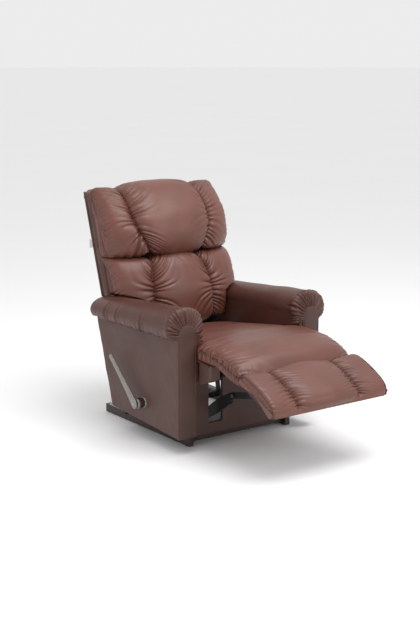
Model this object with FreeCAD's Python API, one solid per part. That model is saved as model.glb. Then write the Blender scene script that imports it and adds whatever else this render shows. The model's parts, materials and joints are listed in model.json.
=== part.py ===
"""Recliner armchair, leg rest out and back upright.

Millimetres.  +Z up, the chair faces -Y, the floor is z = 0 and the origin is under
the middle of the chair.  "left" is the -X side, the one with the release handle.
Side views are drawn as (f, z), where f is the distance forward of the datum plane
y = Y0; turning "up" in a side view is a turn about -X.
"""
import FreeCAD, Part
import math
import os

V = FreeCAD.Vector
Y0 = 283.0                       # datum plane of the side views

# Whole chair
REAR_SLOPE = 0.311               # rearward run of the chair's rear line per unit of height
REAR_F, REAR_Z = -250.0, 571.0   # one point of that line
WOOD = 12.0                      # board thickness of panels

# Base on the floor, with the sliding tracks
RAIL_X = (257.0, 282.0)          # side rail, inner and outer face
RAIL_F = (-323.0, 360.0)
RAIL_Z = (3.0, 40.0)             # the glides fill the 3 mm under it
GLIDE_R = 11.0
GLIDE_F = (-300.0, 335.0)
TRACK_X = (258.0, 281.0)
TRACK_F = (-290.0, 290.0)
TRACK_Z = (40.0, 56.0)
SHEET = 2.0                      # steel sheet of the tracks
MIDDLE_F = (-240.0, 300.0)
BODY_BAR_F = (-150.0, 280.0)

# Arms
POST_X = (296.0, 383.0)          # arm front facing, inner and outer face
ARM_FRONT_F = 431.0
ARM_BOTTOM = (67.0, 98.0)        # side panel's lower edge, front and rear
PANEL_TOP = 505.0
FACING_TOP = 564.0
ROLL_X = (246.0, 430.0)
ROLL_REAR_F = -200.0
ROLL_BOTTOM = 500.0
ROLL_TOP = (630.0, 585.0)        # front and rear
FRAME_BOTTOM_Z = (98.0, 116.0)   # lowest rail of the arm frame, under the handle's crank
INNER_PAD_X = (250.0, 296.0)
INNER_PAD_Z = (300.0, 500.0)
CROSS_Z = (60.0, 86.0)           # cross bars of the arm unit, just over the tracks
FRONT_CROSS_F = (350.0, 370.0)
REAR_CROSS_F = (-80.0, -50.0)
KICK_F = (370.0, 385.0)          # panel under the seat front
KICK_Z = (53.0, 295.0)
NOTCH_X = (120.0, 195.0)         # slots in it for the leg rest links
NOTCH_BOTTOM = 100.0

# Seat
SEAT_PIVOT = (-110.0, 390.0)     # seat tilts on the arm unit here
BACK_HINGE = (-155.0, 345.0)     # back turns on the seat here
CUSHION_X = 243.0                # half width between the arms
EAR_X = 300.0                    # half width in front of the arms
EAR_F = 441.0
CUSHION_F = (-25.0, 530.0)
CUSHION_Z = (394.0, 474.0)
SEAT_FRAME_Z = (320.0, 385.0)
SEAT_FRAME_F = (-75.0, 500.0)

# Leg rest linkage, right-hand side (the left side mirrors it)
REAR_PIVOT = (300.0, 104.0)      # rear link on the mechanism plate
REAR_LINK = 260.0
REAR_LINK_ANGLE = 33.72          # all link angles are from straight ahead, up positive
FRONT_LINK = 265.0
FRONT_LINK_ANGLE = 12.547
CONTROL_PIVOT = (247.1, 62.6)    # control link on the mechanism plate
CONTROL_LINK = 290.0
CONTROL_ANGLE = 33.13
TAIL = (-29.2, -19.9)            # control pin on the front link, along and across it
CROSS_LUG = 38.0                 # tie tube below the rear pivot, square to the rear link
BOARD_CENTRE = (837.5, 319.5)
BOARD_ANGLE = -26.4
PLATE_X = (172.0, 176.0)
REAR_LINK_X = (163.0, 169.0)
FRONT_LINK_X = (156.0, 162.0)
CONTROL_X = (149.0, 155.0)
PIN_R = 5.0
BORE_R = 5.05                    # running bore round a pin
OPEN_EYE_R = 8.5                 # control link's eye, loose round its 4 mm pin

# Back
BACK_LOW_X = 243.0               # half width between the arms
BACK_WIDE_X = 338.0              # half width above them
WING_Z = 603.0
SHELL_X = 343.0                  # outside back above the arms
SHELL_WING_Z = 578.0             # it hangs lower than the pillows, behind the arm rolls
PILLOW_SPLIT = (757.0, 764.0)    # top of the lumbar pillow, bottom of the head pillow

# Release handle on the left side panel
HANDLE_HUB = (160.0, 174.0)
HANDLE_ANGLE = 133.9
HANDLE_LENGTH = 262.0
SHAFT_R = 8.0


def box(x, f, z):
    """Block between pairs of x, f and z."""
    return Part.makeBox(x[1] - x[0], f[1] - f[0], z[1] - z[0], V(x[0], Y0 - f[1], z[0]))


def plate(outline, x):
    """Side-view polygon of (f, z) points, extruded between two x planes."""
    points = [V(x[0], Y0 - f, z) for f, z in outline]
    return Part.Face(Part.makePolygon(points + points[:1])).extrude(V(x[1] - x[0], 0, 0))


def rod(at, r, x):
    """Cylinder along X at a side-view point."""
    return Part.makeCylinder(r, x[1] - x[0], V(x[0], Y0 - at[0], at[1]), V(1, 0, 0))


def along(start, angle, distance, across=0.0):
    """Side-view point a distance from start at an angle, then across it to the left."""
    c, s = math.cos(math.radians(angle)), math.sin(math.radians(angle))
    return (start[0] + distance * c - across * s, start[1] + distance * s + across * c)


def rear(z, inset=0.0):
    """Side-view point on the chair's rear line, moved forward by inset."""
    return (REAR_F - (z - REAR_Z) * REAR_SLOPE + inset, z)


def slanted(z, inset, x):
    """Slab that follows the rear line, between two insets, heights and x planes."""
    return plate([rear(z[0], inset[0]), rear(z[0], inset[1]),
                  rear(z[1], inset[1]), rear(z[1], inset[0])], x)


def mirrored(shape):
    return shape.mirror(V(0, 0, 0), V(1, 0, 0))


def both(shape):
    """A shape and its mirror image, as two solids."""
    return [shape, mirrored(shape)]


def fused(*shapes):
    return shapes[0].multiFuse(list(shapes[1:])).removeSplitter()


def bar(start, end, r0, r1, x):
    """Flat link with round ends about two side-view points."""
    angle = math.degrees(math.atan2(end[1] - start[1], end[0] - start[0]))
    web = plate([along(start, angle, 0, r0), along(start, angle, 0, -r0),
                 along(end, angle, 0, -r1), along(end, angle, 0, r1)], x)
    return fused(web, rod(start, r0, x), rod(end, r1, x))


def bored(shape, points, r, x=(-500.0, 500.0)):
    """Shape with holes along X at side-view points."""
    for point in points:
        shape = shape.cut(rod(point, r, x))
    return shape


def lofted(sections):
    """Solid through polygons given as (x, side-view outline)."""
    wires = []
    for x, outline in sections:
        points = [V(x, Y0 - f, z) for f, z in outline]
        wires.append(Part.makePolygon(points + points[:1]))
    return Part.makeLoft(wires, True, True)


def spring(points):
    """Sinuous spring wire through points."""
    curve = Part.BSplineCurve()
    curve.interpolate(points)
    start = points[0]
    circle = Part.Wire(Part.makeCircle(2.0, start, curve.tangent(curve.FirstParameter)[0]))
    return Part.Wire(curve.toShape()).makePipe(Part.Face(circle))


def save(name, *solids):
    shape = solids[0] if len(solids) == 1 else Part.makeCompound(list(solids))
    for solid in shape.Solids:
        assert solid.isValid(), name
    shape.exportStep(os.path.join("parts", name + ".step"))


def save_pair(name, right):
    save(name + "_right", right)
    save(name + "_left", mirrored(right))


def channel(x, f, z):
    """Steel channel, open upwards."""
    inside = box((x[0] + SHEET, x[1] - SHEET), (f[0] - 1, f[1] + 1), (z[0] + SHEET, z[1] + 1))
    return box(x, f, z).cut(inside)


def build_base():
    save_pair("base_rail", box(RAIL_X, RAIL_F, RAIL_Z))
    inside = (-RAIL_X[0], RAIL_X[0])
    save("base_cross_front", box(inside, (310, 335), (14, RAIL_Z[1])))
    save("base_cross_rear", box(inside, (-300, -275), (14, RAIL_Z[1])))
    middle = sum(RAIL_X) / 2
    discs = [Part.makeCylinder(GLIDE_R, RAIL_Z[0], V(side * middle, Y0 - f, 0))
             for side in (-1, 1) for f in GLIDE_F]
    save("base_glides", *discs)
    save("base_tracks", *[strip for part in track_strips() for strip in both(part)])
    heads = [Part.makeCylinder(3.0, 0.9, V(side * middle, Y0 - f, TRACK_Z[0] + SHEET))
             for side in (-1, 1) for f in (-260, 0, 260)]
    save("track_screws", *heads)


def track_strips():
    """Floor and two walls of the track, welded from flat strip."""
    floor_z = (TRACK_Z[0], TRACK_Z[0] + SHEET)
    wall_z = (floor_z[1], TRACK_Z[1])
    return [box(TRACK_X, TRACK_F, floor_z),
            box((TRACK_X[0], TRACK_X[0] + SHEET), TRACK_F, wall_z),
            box((TRACK_X[1] - SHEET, TRACK_X[1]), TRACK_F, wall_z)]


def build_middle_slides():
    x = (TRACK_X[0] + 3.5, TRACK_X[1] - 3.5)
    save("middle_slides", *both(channel(x, MIDDLE_F, (TRACK_Z[0] + 3, TRACK_Z[1] - 1))))


def build_arm_unit():
    bar_x = (TRACK_X[0] + 7, TRACK_X[1] - 7)
    save("body_slides", *both(box(bar_x, BODY_BAR_F, (TRACK_Z[0] + 6.5, CROSS_Z[0]))))
    save("body_cross_front", box((-345, 345), FRONT_CROSS_F, CROSS_Z))
    save("body_cross_rear", box((-345, 345), REAR_CROSS_F, CROSS_Z))

    post = box((300, 365), (385, 419), (70, 500))
    bottom = box((345, 365), (-55, 385), FRAME_BOTTOM_Z)
    back_post = slanted((120, 500), (20, 60), (345, 365))
    top = box((318, 365), (-165, 385), (475, 500))
    back_post = back_post.cut(top)
    save_pair("arm_frame", Part.makeCompound([post, bottom, back_post, top]))

    outline = [(419, ARM_BOTTOM[0]), (419, PANEL_TOP), rear(PANEL_TOP), rear(ARM_BOTTOM[1])]
    outer = (POST_X[1] - WOOD, POST_X[1])
    panel = plate(outline, outer)
    roll = arm_roll()
    panel = panel.cut(roll)
    save("side_panel_right", panel)
    save("side_panel_left", bored(mirrored(panel), [HANDLE_HUB], 12.0))

    mid = sum(POST_X) / 2
    r = (POST_X[1] - POST_X[0]) / 2
    facing = box(POST_X, (419, ARM_FRONT_F), (ARM_BOTTOM[0], FACING_TOP - r))
    arch = Part.makeCylinder(r, ARM_FRONT_F - 419, V(mid, Y0 - ARM_FRONT_F, FACING_TOP - r),
                             V(0, 1, 0))
    save_pair("arm_facing", fused(facing, arch))
    save_pair("arm_roll", roll)
    save_pair("arm_inner_pad", inner_pad())

    kick = box((-300, 300), KICK_F, KICK_Z)
    slot = box(NOTCH_X, (KICK_F[0] - 1, KICK_F[1] + 1), (NOTCH_BOTTOM, KICK_Z[1] + 1))
    save("front_panel", kick.cut(slot).cut(mirrored(slot)))
    save("rear_apron", slanted((120, 310), (0, WOOD), (-345, 345)))
    save("arm_rear_covers", *both(slanted((312, 498), (0, WOOD), (250, POST_X[1] - WOOD))))

    upright = plate([(REAR_CROSS_F[0], CROSS_Z[1]), (REAR_CROSS_F[1], CROSS_Z[1]),
                     (-92, SEAT_PIVOT[1]), (-100, 408), (-120, 408), (-128, SEAT_PIVOT[1])],
                    (188, 194))
    save("seat_supports", *both(bored(upright, [SEAT_PIVOT], BORE_R)))

    washer = rod(HANDLE_HUB, 27, (-POST_X[1] - 4, -POST_X[1]))
    save("handle_escutcheon", bored(washer, [HANDLE_HUB], SHAFT_R + 0.05))
    bearing = rod(HANDLE_HUB, 22, (-POST_X[1] + WOOD, -POST_X[1] + WOOD + 8))
    save("handle_bearing", bored(bearing, [HANDLE_HUB], SHAFT_R + 0.05))


def roll_section(f, top):
    """Rounded section of the arm roll across the chair, at one f."""
    y = Y0 - f
    x0, x1 = ROLL_X
    mid = (x0 + x1) / 2
    rise = top - ROLL_BOTTOM

    def at(x, share):
        return V(x, y, ROLL_BOTTOM + rise * share)
    low_right, high_right = at(x1 - 24, 0), at(x1 - 28, 0.79)
    low_left, high_left = at(x0 + 24, 0), at(x0 + 28, 0.79)
    edges = [Part.LineSegment(low_left, low_right),
             Part.Arc(low_right, at(x1, 0.36), high_right),
             Part.Arc(high_right, at(mid, 1.0), high_left),
             Part.Arc(high_left, at(x0, 0.36), low_left)]
    return Part.Wire([edge.toShape() for edge in edges])


def arm_roll():
    return Part.makeLoft([roll_section(419, ROLL_TOP[0]),
                          roll_section(ROLL_REAR_F, ROLL_TOP[1])], True, True)


def inner_pad():
    """Padded inside of an arm, under the roll, from the seat's ear to the rear line."""
    low, high = INNER_PAD_Z
    return plate([(419, low), (419, high), rear(high, 14), rear(low, 14)], INNER_PAD_X)


def build_seat():
    side = box((220, 240), SEAT_FRAME_F, SEAT_FRAME_Z)
    front = box((-220, 220), (475, 500), (365, 385))
    mid_rail = box((-220, 220), (60, 90), (330, 385))
    rear_rail = box((-220, 220), (-75, -50), (330, 385))
    save("seat_frame", *both(side), front, mid_rail, rear_rail)
    save("seat_ear_blocks", *both(box((240, 280), (EAR_F, SEAT_FRAME_F[1]), (310, 385))))

    wires = []
    for x in (-180, -108, -36, 36, 108, 180):
        count = 26
        step = (SEAT_FRAME_F[1] - 14 + 62) / count
        points = [V(x + (14 if i % 4 == 1 else -14 if i % 4 == 3 else 0),
                    Y0 - (-62 + i * step), 387.1) for i in range(count + 1)]
        wires.append(spring(points))
    save("seat_springs", *wires)
    save("seat_deck", box((-238, 238), (-73, 498), (390, 393)))

    body = box((-CUSHION_X, CUSHION_X), CUSHION_F, CUSHION_Z)
    ears = box((-EAR_X, EAR_X), (EAR_F, CUSHION_F[1]), CUSHION_Z)
    cushion = fused(body, ears)
    top_edges = [edge for edge in cushion.Edges
                 if all(abs(v.Z - CUSHION_Z[1]) < 1e-6 for v in edge.Vertexes)]
    save("seat_cushion", cushion.makeFillet(18.0, top_edges))

    chaise = plate([(533, 380), (533, 478), (610, 478), (690, 460), (744, 434),
                    (725, 383), (640, 372)], (-298, 298))
    save("chaise_pad", chaise)

    outline = [(-75, 330), (90, 330), (150, 180), (318, 124), (322, 90), (262, 48),
               (232, 48), (60, 160)]
    side_plate = bored(plate(outline, PLATE_X), [REAR_PIVOT, CONTROL_PIVOT], BORE_R)
    save("mechanism_plates", *both(side_plate))

    hinge = plate([(-75, 330), (-75, 405), (-125, 405), (-167, 358), (-167, 330)], (202, 208))
    save("seat_hinge_plates", *both(bored(hinge, [SEAT_PIVOT, BACK_HINGE], BORE_R)))


def build_linkage():
    knee = along(REAR_PIVOT, REAR_LINK_ANGLE, REAR_LINK)
    front_pin = along(knee, FRONT_LINK_ANGLE, FRONT_LINK)
    tail = along(knee, FRONT_LINK_ANGLE, *TAIL)
    lug = along(REAR_PIVOT, REAR_LINK_ANGLE - 90, CROSS_LUG)
    control_end = along(CONTROL_PIVOT, CONTROL_ANGLE, CONTROL_LINK)

    web = plate([along(REAR_PIVOT, REAR_LINK_ANGLE, 0, 16),
                 along(REAR_PIVOT, REAR_LINK_ANGLE, 110, 26),
                 along(REAR_PIVOT, REAR_LINK_ANGLE, 190, 26), along(knee, REAR_LINK_ANGLE, 0, 15),
                 along(knee, REAR_LINK_ANGLE, 0, -15),
                 along(REAR_PIVOT, REAR_LINK_ANGLE, 190, -26),
                 along(REAR_PIVOT, REAR_LINK_ANGLE, 110, -26),
                 along(REAR_PIVOT, REAR_LINK_ANGLE, 0, -16)], REAR_LINK_X)
    link = fused(web, rod(REAR_PIVOT, 16, REAR_LINK_X), rod(knee, 15, REAR_LINK_X),
                 bar(REAR_PIVOT, lug, 14, 12, REAR_LINK_X))
    save("rear_links", *both(bored(link, [knee], BORE_R)))
    save("link_tie_tube", rod(lug, 8, (-REAR_LINK_X[0], REAR_LINK_X[0])))
    save("rear_link_pins", *both(headed_pin(REAR_PIVOT, REAR_LINK_X[1], PLATE_X[1])))

    link = fused(bar(knee, front_pin, 14, 12, FRONT_LINK_X), bar(knee, tail, 14, 11, FRONT_LINK_X))
    save("front_links", *both(bored(link, [front_pin], BORE_R)))
    save("knee_pins", *both(headed_pin(knee, FRONT_LINK_X[1], REAR_LINK_X[1])))
    tail_pin = rod(tail, 4, (CONTROL_X[0] - 2, FRONT_LINK_X[0]))
    save("control_pins", *both(tail_pin))

    control = bar(CONTROL_PIVOT, control_end, 11, 14, CONTROL_X)
    control = bored(control, [control_end], OPEN_EYE_R)
    collar = rod(CONTROL_PIVOT, 9, (CONTROL_X[1], PLATE_X[0] - 0.5))
    pin = rod(CONTROL_PIVOT, PIN_R, (PLATE_X[0] - 0.5, PLATE_X[1] + 2))
    save("control_links", *both(fused(control, collar, pin)))

    def board(u, v):
        return along(BOARD_CENTRE, BOARD_ANGLE, u, v)

    def slab(u, v, x):
        return plate([board(u[0], v[0]), board(u[1], v[0]), board(u[1], v[1]),
                      board(u[0], v[1])], x)
    save("footrest_board", slab((-95, 95), (-9, 9), (-290, 290)))
    outline = [(-118, 11), (-121, 28), (-112, 50), (-80, 62), (0, 66), (80, 62), (116, 50),
               (126, 30), (122, 9.5)]
    wide = plate([board(u, v) for u, v in outline], (-286, 286))
    end = [(x, [board(u * k, 9.5 + (v - 9.5) * h) for u, v in outline])
           for x, k, h in ((286, 1.0, 1.0), (310, 0.97, 0.72))]
    cap = lofted(end)
    save("footrest_pad", fused(wide, cap, mirrored(cap)))
    ear = plate([board(-85, -9), board(25, -9), board(-32, -54), board(-68, -54)], (164, 168))
    flange = slab((-85, 25), (-12, -9), (168, 196))
    bracket = bored(fused(ear, flange), [front_pin], PIN_R)
    save("footrest_brackets", *both(bracket))
    pin = fused(rod(front_pin, PIN_R, (FRONT_LINK_X[0] - 1, 168)),
                rod(front_pin, 9, (FRONT_LINK_X[0] - 3, FRONT_LINK_X[0] - 1)))
    save("footrest_pins", *both(pin))


def headed_pin(at, start, end):
    """Pin fixed in one link at start, running through the next part out to its head."""
    shank = rod(at, PIN_R, (start, end + 0.5))
    return fused(shank, rod(at, 8, (end + 0.5, end + 2.5)))


def build_back():
    low = slanted((360, SHELL_WING_Z), (0, 14), (-BACK_LOW_X, BACK_LOW_X))
    high = slanted((SHELL_WING_Z, 1044), (0, 14), (-SHELL_X, SHELL_X))
    save("outside_back", fused(low, high))

    upright = slanted((375, 1000), (16, 56), (215, 240))
    wing = slanted((620, 1000), (16, 56), (290, 315))
    ties = [slanted(z, (16, 56), (240, 290)) for z in ((620, 660), (960, 1000))]
    rails = [slanted(z, (16, 56), (-209, 209)) for z in ((422, 460), (620, 660), (960, 1000))]
    save("back_frame", *both(upright), *both(wing), *rails,
         *[solid for tie in ties for solid in both(tie)])

    wires = []
    for z in (500, 560, 710, 770, 830, 890):
        count = 24
        points = []
        for i in range(count + 1):
            height = z + (14 if i % 4 == 1 else -14 if i % 4 == 3 else 0)
            f, height = rear(height, 59)
            points.append(V(-224 + 448 * i / count, Y0 - f, height))
        wires.append(spring(points))
    save("back_springs", *wires)

    bracket = plate([(BACK_HINGE[0] - 8, 335), (BACK_HINGE[0] + 8, 329),
                     (BACK_HINGE[0] + 18, BACK_HINGE[1]), rear(470, 50), rear(470, 24)],
                    (209, 215))
    save("back_brackets", *both(bored(bracket, [BACK_HINGE], PIN_R)))
    hinge = fused(rod(BACK_HINGE, PIN_R, (200, 215)), rod(BACK_HINGE, 9, (198, 200)))
    save("back_hinge_pins", *both(hinge))
    hinge = fused(rod(SEAT_PIVOT, PIN_R, (186, 202)), rod(SEAT_PIVOT, 9, (184, 186)))
    save("seat_pivot_pins", *both(hinge))

    save("head_pillow", head_pillow())
    save("lumbar_pillow", lumbar_pillow())
    f, z = rear(814, 10)
    save("care_tag", box((-SHELL_X - 17, -SHELL_X), (f - 0.5, f + 0.5), (z - 19, z + 19)))


def head_pillow():
    """Head cushion over the top of the back, deepest in the middle."""
    def section(depth):
        z = PILLOW_SPLIT[1]
        front = [(-120, z), (-98, z + 28), (-104, 860), (-133, 930), (-185, 1010)]
        front = [(f - (1 - depth) * 120, height) for f, height in front]
        crest = [(-240 - (1 - depth) * 60, 1062 - (1 - depth) * 20),
                 (-310, 1080 - (1 - depth) * 25), (-368, 1064 - (1 - depth) * 15)]
        return [rear(z, 62), *front, *crest, (-380, 1040), rear(1006, 16), rear(1006, 62)]
    shares = ((-BACK_WIDE_X, 0.3), (-300, 0.72), (-200, 0.93), (0, 1.0), (200, 0.93),
              (300, 0.72), (BACK_WIDE_X, 0.3))
    return lofted([(x, section(depth)) for x, depth in shares])


def lumbar_pillow():
    """Lumbar cushion, wide above the arms and narrow between them."""
    def high(depth):
        front = [(-52, 640), (-84, 715), (-116, PILLOW_SPLIT[0])]
        front = [(f - (1 - depth) * 110, z) for f, z in front]
        return [rear(WING_Z, 62), (-42 - (1 - depth) * 100, WING_Z), *front,
                rear(PILLOW_SPLIT[0], 62)]

    def low(depth):
        shift = (1 - depth) * 110
        return [rear(445, 62), (-52 - shift, 445), (-28 - shift, 482), (-32 - shift, 545),
                (-42 - shift, WING_Z), rear(WING_Z, 62)]
    upper = lofted([(x, high(d)) for x, d in ((-BACK_WIDE_X, 0.15), (-290, 0.62), (-160, 0.93),
                                              (0, 1.0), (160, 0.93), (290, 0.62),
                                              (BACK_WIDE_X, 0.15))])
    lower = lofted([(x, low(d)) for x, d in ((-BACK_LOW_X, 0.75), (-160, 0.93), (0, 1.0),
                                             (160, 0.93), (BACK_LOW_X, 0.75))])
    return fused(upper, lower)


def build_handle():
    shaft = rod(HANDLE_HUB, SHAFT_R, (-425, -345))
    save("handle_shaft", shaft)
    hub = rod(HANDLE_HUB, 24, (-425, -POST_X[1] - 5))
    save("handle_hub", bored(hub, [HANDLE_HUB], SHAFT_R))
    lever = lever_shape()
    save("handle_lever", lever)
    save("handle_screw", rod(HANDLE_HUB, 6, (-439, -436)))
    crank = bar(HANDLE_HUB, along(HANDLE_HUB, HANDLE_ANGLE - 120, 45), 13, 9, (-352, -346))
    save("handle_crank", bored(crank, [HANDLE_HUB], SHAFT_R))


def lever_shape():
    """Tapered paddle that leans outwards towards its tip."""
    sections = []
    for share, half, inner, thick in ((-0.07, 15, -425, 11), (0.0, 19, -425, 11),
                                      (0.3, 17, -427, 9), (0.75, 13, -433, 8),
                                      (0.97, 12, -436, 8), (1.0, 8, -437, 6)):
        centre = along(HANDLE_HUB, HANDLE_ANGLE, HANDLE_LENGTH * share)
        low = along(centre, HANDLE_ANGLE, 0, -half)
        high = along(centre, HANDLE_ANGLE, 0, half)
        corners = [V(inner, Y0 - low[0], low[1]), V(inner, Y0 - high[0], high[1]),
                   V(inner - thick, Y0 - high[0], high[1]), V(inner - thick, Y0 - low[0], low[1])]
        sections.append(Part.makePolygon(corners + corners[:1]))
    return Part.makeLoft(sections, True, True)


os.makedirs("parts", exist_ok=True)
build_base()
build_middle_slides()
build_arm_unit()
build_seat()
build_linkage()
build_back()
build_handle()
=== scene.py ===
"""Looks of the recliner armchair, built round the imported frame, in metres.

Soft pieces are grids of points: a closed outline carried through a row of stations.
Side views use (f, z), where f is the distance forward of the plane y = DATUM.
"""
import bmesh
import bpy
import json
import math
import numpy as np
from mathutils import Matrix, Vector


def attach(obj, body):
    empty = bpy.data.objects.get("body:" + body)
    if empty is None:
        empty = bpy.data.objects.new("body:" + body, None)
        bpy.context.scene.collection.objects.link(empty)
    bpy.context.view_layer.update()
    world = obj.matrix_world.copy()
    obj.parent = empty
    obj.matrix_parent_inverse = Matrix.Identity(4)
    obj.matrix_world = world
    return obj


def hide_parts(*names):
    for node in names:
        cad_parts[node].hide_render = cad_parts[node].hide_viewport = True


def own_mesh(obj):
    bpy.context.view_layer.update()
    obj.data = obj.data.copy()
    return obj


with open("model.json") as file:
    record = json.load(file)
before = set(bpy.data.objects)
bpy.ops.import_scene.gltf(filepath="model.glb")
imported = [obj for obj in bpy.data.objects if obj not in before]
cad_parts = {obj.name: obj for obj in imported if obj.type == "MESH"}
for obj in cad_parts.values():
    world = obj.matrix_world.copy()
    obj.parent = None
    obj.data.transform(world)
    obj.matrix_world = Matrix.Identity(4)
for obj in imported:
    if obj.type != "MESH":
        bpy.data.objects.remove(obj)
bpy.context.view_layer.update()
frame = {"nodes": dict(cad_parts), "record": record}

DATUM = 0.283
REAR_F, REAR_Z, REAR_SLOPE = -0.250, 0.571, 0.311
SAME_POINT = 1e-5                # points nearer than this are one point
X_AXIS, Y_AXIS, Z_AXIS = np.eye(3)
SIDES = ((-1, "left"), (1, "right"))


# ---------------------------------------------------------------- shapes of grids

def rear_f(z):
    """Forward distance of the chair's rear line at a height."""
    return REAR_F - (z - REAR_Z) * REAR_SLOPE


def smooth_loop(points, count, coarse=None):
    """Closed Catmull-Rom curve through points, and each point's distance round.

    coarse gives the spacing at a point, as a multiple of the finest.
    """
    p = np.array(points, float)
    t = np.linspace(0, 1, 16, endpoint=False)[:, None]
    fine = []
    for i in range(len(p)):
        a, b, c, d = (p[(i + k) % len(p)] for k in (-1, 0, 1, 2))
        fine.append(0.5 * (2 * b + (c - a) * t + (2 * a - 5 * b + 4 * c - d) * t ** 2
                           + (3 * b - a - 3 * c + d) * t ** 3))
    fine = np.vstack(fine + [p[:1]])
    run = np.concatenate([[0], np.cumsum(np.linalg.norm(np.diff(fine, axis=0), axis=1))])
    share = 1 / (1 + 0 * run[1:] if coarse is None else coarse(fine[1:, 0], fine[1:, 1]))
    weight = np.concatenate([[0], np.cumsum(np.diff(run) * share)])
    steps = np.interp(np.linspace(0, weight[-1], count, endpoint=False), weight, run)
    loop = np.stack([np.interp(steps, run, fine[:, k]) for k in range(2)], axis=1)
    return loop, steps


def loop_normals(loop):
    """Unit normals of a closed 2-D loop, pointing out of it."""
    along = np.roll(loop, -1, axis=0) - np.roll(loop, 1, axis=0)
    normal = np.stack([along[:, 1], -along[:, 0]], axis=1)
    normal /= np.linalg.norm(normal, axis=1)[:, None] + 1e-12
    area = np.sum(loop[:, 0] * np.roll(loop[:, 1], -1) - np.roll(loop[:, 0], -1) * loop[:, 1])
    return normal if area > 0 else -normal


def surface_normals(grid):
    """Unit normals of a grid whose second direction closes on itself, pointing out."""
    du = np.gradient(grid, axis=0)
    dv = np.roll(grid, -1, axis=1) - np.roll(grid, 1, axis=1)
    n = np.cross(du, dv)
    n /= np.linalg.norm(n, axis=2)[:, :, None] + 1e-12
    out = grid - grid.mean(axis=1, keepdims=True)
    return n if np.sum(n * out) > 0 else -n


def waves(a, b, size, seed, count=7):
    """Smooth random field of two coordinates, about -1 to 1, with features of a given size."""
    rng = np.random.default_rng(seed)
    total = 0
    for _ in range(count):
        turn = rng.uniform(0, 2 * math.pi)
        k = 2 * math.pi / (size * rng.uniform(0.7, 1.6))
        total = total + np.sin(k * (a * math.cos(turn) + b * math.sin(turn))
                               + rng.uniform(0, 2 * math.pi))
    return total / math.sqrt(count)


def chance(number, seed):
    """Repeatable random share, 0 to 1, for each whole number."""
    return np.modf(np.abs(np.sin(number * 12.9898 + seed * 1.371) * 43758.5453))[0]


def gathers(across, along, pitch, reach, height, seed, fan=0.0):
    """Puckers beside a seam: creases of uneven depth and length that fan out from it."""
    side = np.where(across < 0, -1.0, 1.0)
    far = np.abs(across)
    place = along - fan * far
    phase = place / pitch + 0.25 * side + 0.40 * waves(place, side * 0.37, pitch * 3.2, seed)
    number = np.round(phase)
    offset = np.abs(phase - number)
    depth = height * (0.50 + 0.85 * chance(number, seed + side))
    length = reach * (0.35 + 1.25 * chance(number, seed + 7 + side))
    width = 0.17 + 0.13 * np.minimum(far / reach, 1.2)
    crease = np.exp(-(offset / width) ** 1.5) * (1 - (2 * offset) ** 2)
    ridge = 0.30 * height * (1 - crease) * np.exp(-(far / reach) ** 1.3)
    return ridge - depth * crease * np.exp(-(far / length) ** 1.7)


def pinch(across, depth, near=0.010, wide=0.050):
    """How far a seam pulls the surface in, at a distance across it."""
    far = np.abs(across)
    return -depth * (0.40 * np.exp(-(far / near) ** 1.3) + 0.60 * np.exp(-far / wide))


def fold(along, across, half, depth):
    """A tuck: a sharp valley between two low rounded lips, at a distance across it."""
    return depth * along * (0.35 * np.exp(-((np.abs(across) - 2.4 * half) / (1.4 * half)) ** 2)
                            - np.exp(-(np.abs(across) / half) ** 1.4))


def round_stations(low, high, radius, step, turns=7):
    """Places from low to high and the inset at each, for ends rounded by radius."""
    angles = np.linspace(0, math.pi / 2, turns, endpoint=False)
    first = low + radius * (1 - np.sin(angles[::-1] + math.pi / 2 / turns))
    inset = radius * (1 - np.cos(angles[::-1] + math.pi / 2 / turns))
    middle = np.linspace(low + radius, high - radius, max(3, int((high - low) / step)))
    places = np.concatenate([first, middle, (low + high - first)[::-1]])
    insets = np.concatenate([inset, np.zeros(len(middle)), inset[::-1]])
    return places, insets


# ---------------------------------------------------------------- making objects

def add_object(name, verts, faces, material, body, replaces=()):
    """Makes a piece, and says what it rides on and what it replaces."""
    mesh = bpy.data.meshes.new(name)
    mesh.from_pydata([tuple(v) for v in verts], [], faces)
    mesh.validate()
    mesh.shade_smooth()
    mesh.materials.append(material)
    obj = bpy.data.objects.new(name, mesh)
    bpy.context.scene.collection.objects.link(obj)
    clean(mesh)
    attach(obj, body)
    if replaces:
        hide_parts(*replaces)
    return obj


def clean(mesh, join=None):
    """Points the normals outwards, after joining points nearer than join, if it is given."""
    bm = bmesh.new()
    bm.from_mesh(mesh)
    if join is not None:
        bmesh.ops.remove_doubles(bm, verts=bm.verts, dist=join)
    bmesh.ops.recalc_face_normals(bm, faces=bm.faces)
    bm.to_mesh(mesh)
    bm.free()


def tube_faces(rows, columns, first=0):
    """Quads of a grid whose columns close on themselves, with both ends filled."""
    faces = []
    for i in range(rows - 1):
        for j in range(columns):
            k = (j + 1) % columns
            faces.append((first + i * columns + j, first + i * columns + k,
                          first + (i + 1) * columns + k, first + (i + 1) * columns + j))
    faces.append(tuple(first + j for j in range(columns)))
    faces.append(tuple(first + (rows - 1) * columns + j for j in reversed(range(columns))))
    return faces


def board_faces(rows, columns):
    """Quads of two grids that lie back to back, the second one facing the other way."""
    faces = []
    for i in range(rows - 1):
        for j in range(columns - 1):
            quad = (i * columns + j, (i + 1) * columns + j, (i + 1) * columns + j + 1,
                    i * columns + j + 1)
            faces.append(quad)
            faces.append(tuple(k + rows * columns for k in reversed(quad)))
    return faces


def grid_object(name, grid, material, body, replaces=()):
    """Makes a closed piece from a grid of points."""
    rows, columns = grid.shape[:2]
    return add_object(name, grid.reshape(-1, 3), tube_faces(rows, columns), material, body,
                      replaces)


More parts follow.
